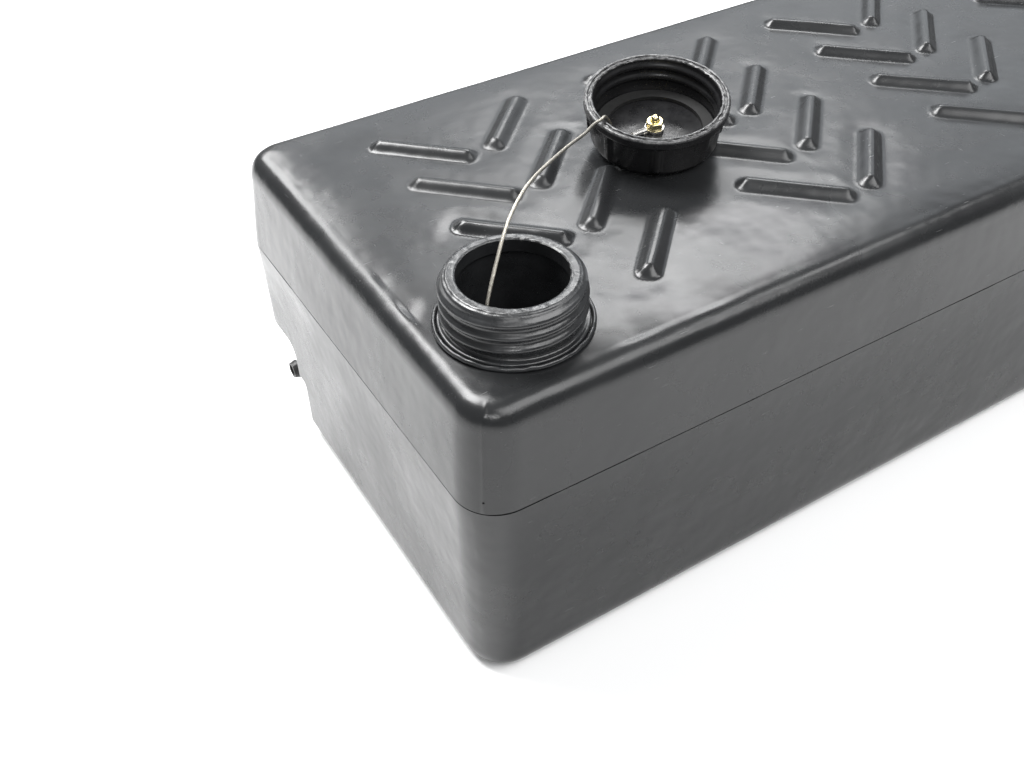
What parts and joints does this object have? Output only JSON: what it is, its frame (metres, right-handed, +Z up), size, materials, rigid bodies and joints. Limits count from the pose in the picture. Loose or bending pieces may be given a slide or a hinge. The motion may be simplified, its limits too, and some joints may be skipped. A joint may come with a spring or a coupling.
{
  "type": "fresh water tank",
  "caption": "Low rectangular moulded water tank with a ribbed top, threaded filler neck at one corner, screw cap on a wire tether lying open side up, and elbow outlet in a rear recess.",
  "frame": {"origin": "middle of the footprint, on the surface the tank stands on", "axes": "+X along the tank away from the filler end, +Y to the recessed back with the outlet, +Z up"},
  "size_m": [0.785, 0.328, 0.275],
  "materials": {
    "tank_plastic": "dark slate grey moulded polyethylene, semi-gloss with fine waviness and light scratches",
    "neck_plastic": "dark grey moulded plastic, semi-gloss, speckled trimmed lip",
    "weld_plastic": "darker fused plastic, matt and slightly uneven",
    "cap_plastic": "near-black moulded plastic, satin, with a ragged parting edge on the rim",
    "seal_rubber": "black rubber, matt",
    "brass": "bright yellow plated",
    "steel": "bright stainless",
    "cable_steel": "stranded stainless wire rope, slightly dull",
    "fitting_plastic": "black moulded nylon, satin"
  },
  "bodies": {
    "tank": {"tank_upper_shell": "tank_plastic", "tank_lower_shell": "tank_plastic", "seam_weld": "weld_plastic", "filler_neck": "neck_plastic", "neck_weld_bead": "weld_plastic", "tether_cable": "cable_steel", "anchor_terminal": "steel", "anchor_rivet": "steel", "outlet_insert": "brass", "outlet_seal": "seal_rubber", "outlet_elbow": "fitting_plastic", "outlet_lock_nut": "fitting_plastic"},
    "tether_end": {"cap_terminal": "steel"},
    "cap": {"filler_cap": "cap_plastic", "cap_seal": "seal_rubber", "cap_bolt": "brass", "cap_outer_washer": "seal_rubber", "cap_inner_washer": "brass", "cap_nut": "brass"}
  },
  "joints": [
    {"name": "cap_lift", "type": "slide", "parent": "tank", "child": "tether_end", "axis": [0, 0, 1], "range_m": [0, 0.06], "deforming": ["tether_cable"]},
    {"name": "cap_turn", "type": "hinge", "parent": "tether_end", "child": "cap", "pos_m": [-0.158, 0.0075, 0.21834], "axis": [-0.0903, -0.1319, 0.9871], "continuous": true}
  ]
}
